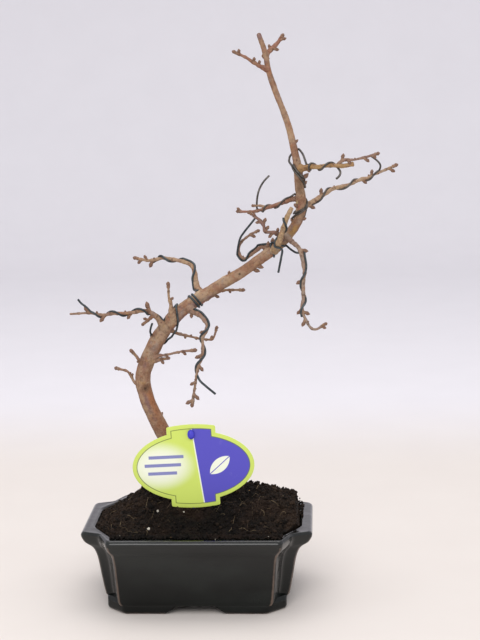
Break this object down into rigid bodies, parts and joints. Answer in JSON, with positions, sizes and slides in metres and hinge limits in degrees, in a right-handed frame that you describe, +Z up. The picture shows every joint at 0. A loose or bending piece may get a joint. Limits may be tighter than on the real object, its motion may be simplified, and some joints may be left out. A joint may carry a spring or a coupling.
{
  "type": "potted larch bonsai",
  "caption": "Leafless young golden larch with a bowed trunk, wired branches and small buds, planted in a dark glazed rectangular pot with a soil mound and an oval plant label.",
  "frame": {"origin": "on the table under the middle of the bounding box, at the underside of the pot feet", "axes": "+X to the right of the front view along the pot, +Y away from the viewer, +Z up the tree"},
  "size_m": [0.2118, 0.1124, 0.3689],
  "materials": {
    "bark": "rough brown bark with reddish and grey patches",
    "glaze": "very dark green-black gloss glaze, brown where it is thin on edges",
    "soil": "crumbly dark brown potting soil with fibres",
    "wire": "dark grey anodised bonsai wire, slight gloss",
    "label": "printed plastic, lime and blue-violet, semi gloss",
    "peg": "blue plastic",
    "netting": "black plastic mesh"
  },
  "bodies": {
    "root": {"label_plate": "label", "label_peg": "peg", "pot": "glaze", "soil": "soil", "tree": "bark", "wire_low_left": "wire", "wire_left_pair": "wire", "wire_loop_pair": "wire", "wire_pale_stub": "wire", "wire_right_pair": "wire", "wire_top_right": "wire", "drain_mesh_left": "netting", "drain_mesh_right": "netting"}
  },
  "joints": []
}
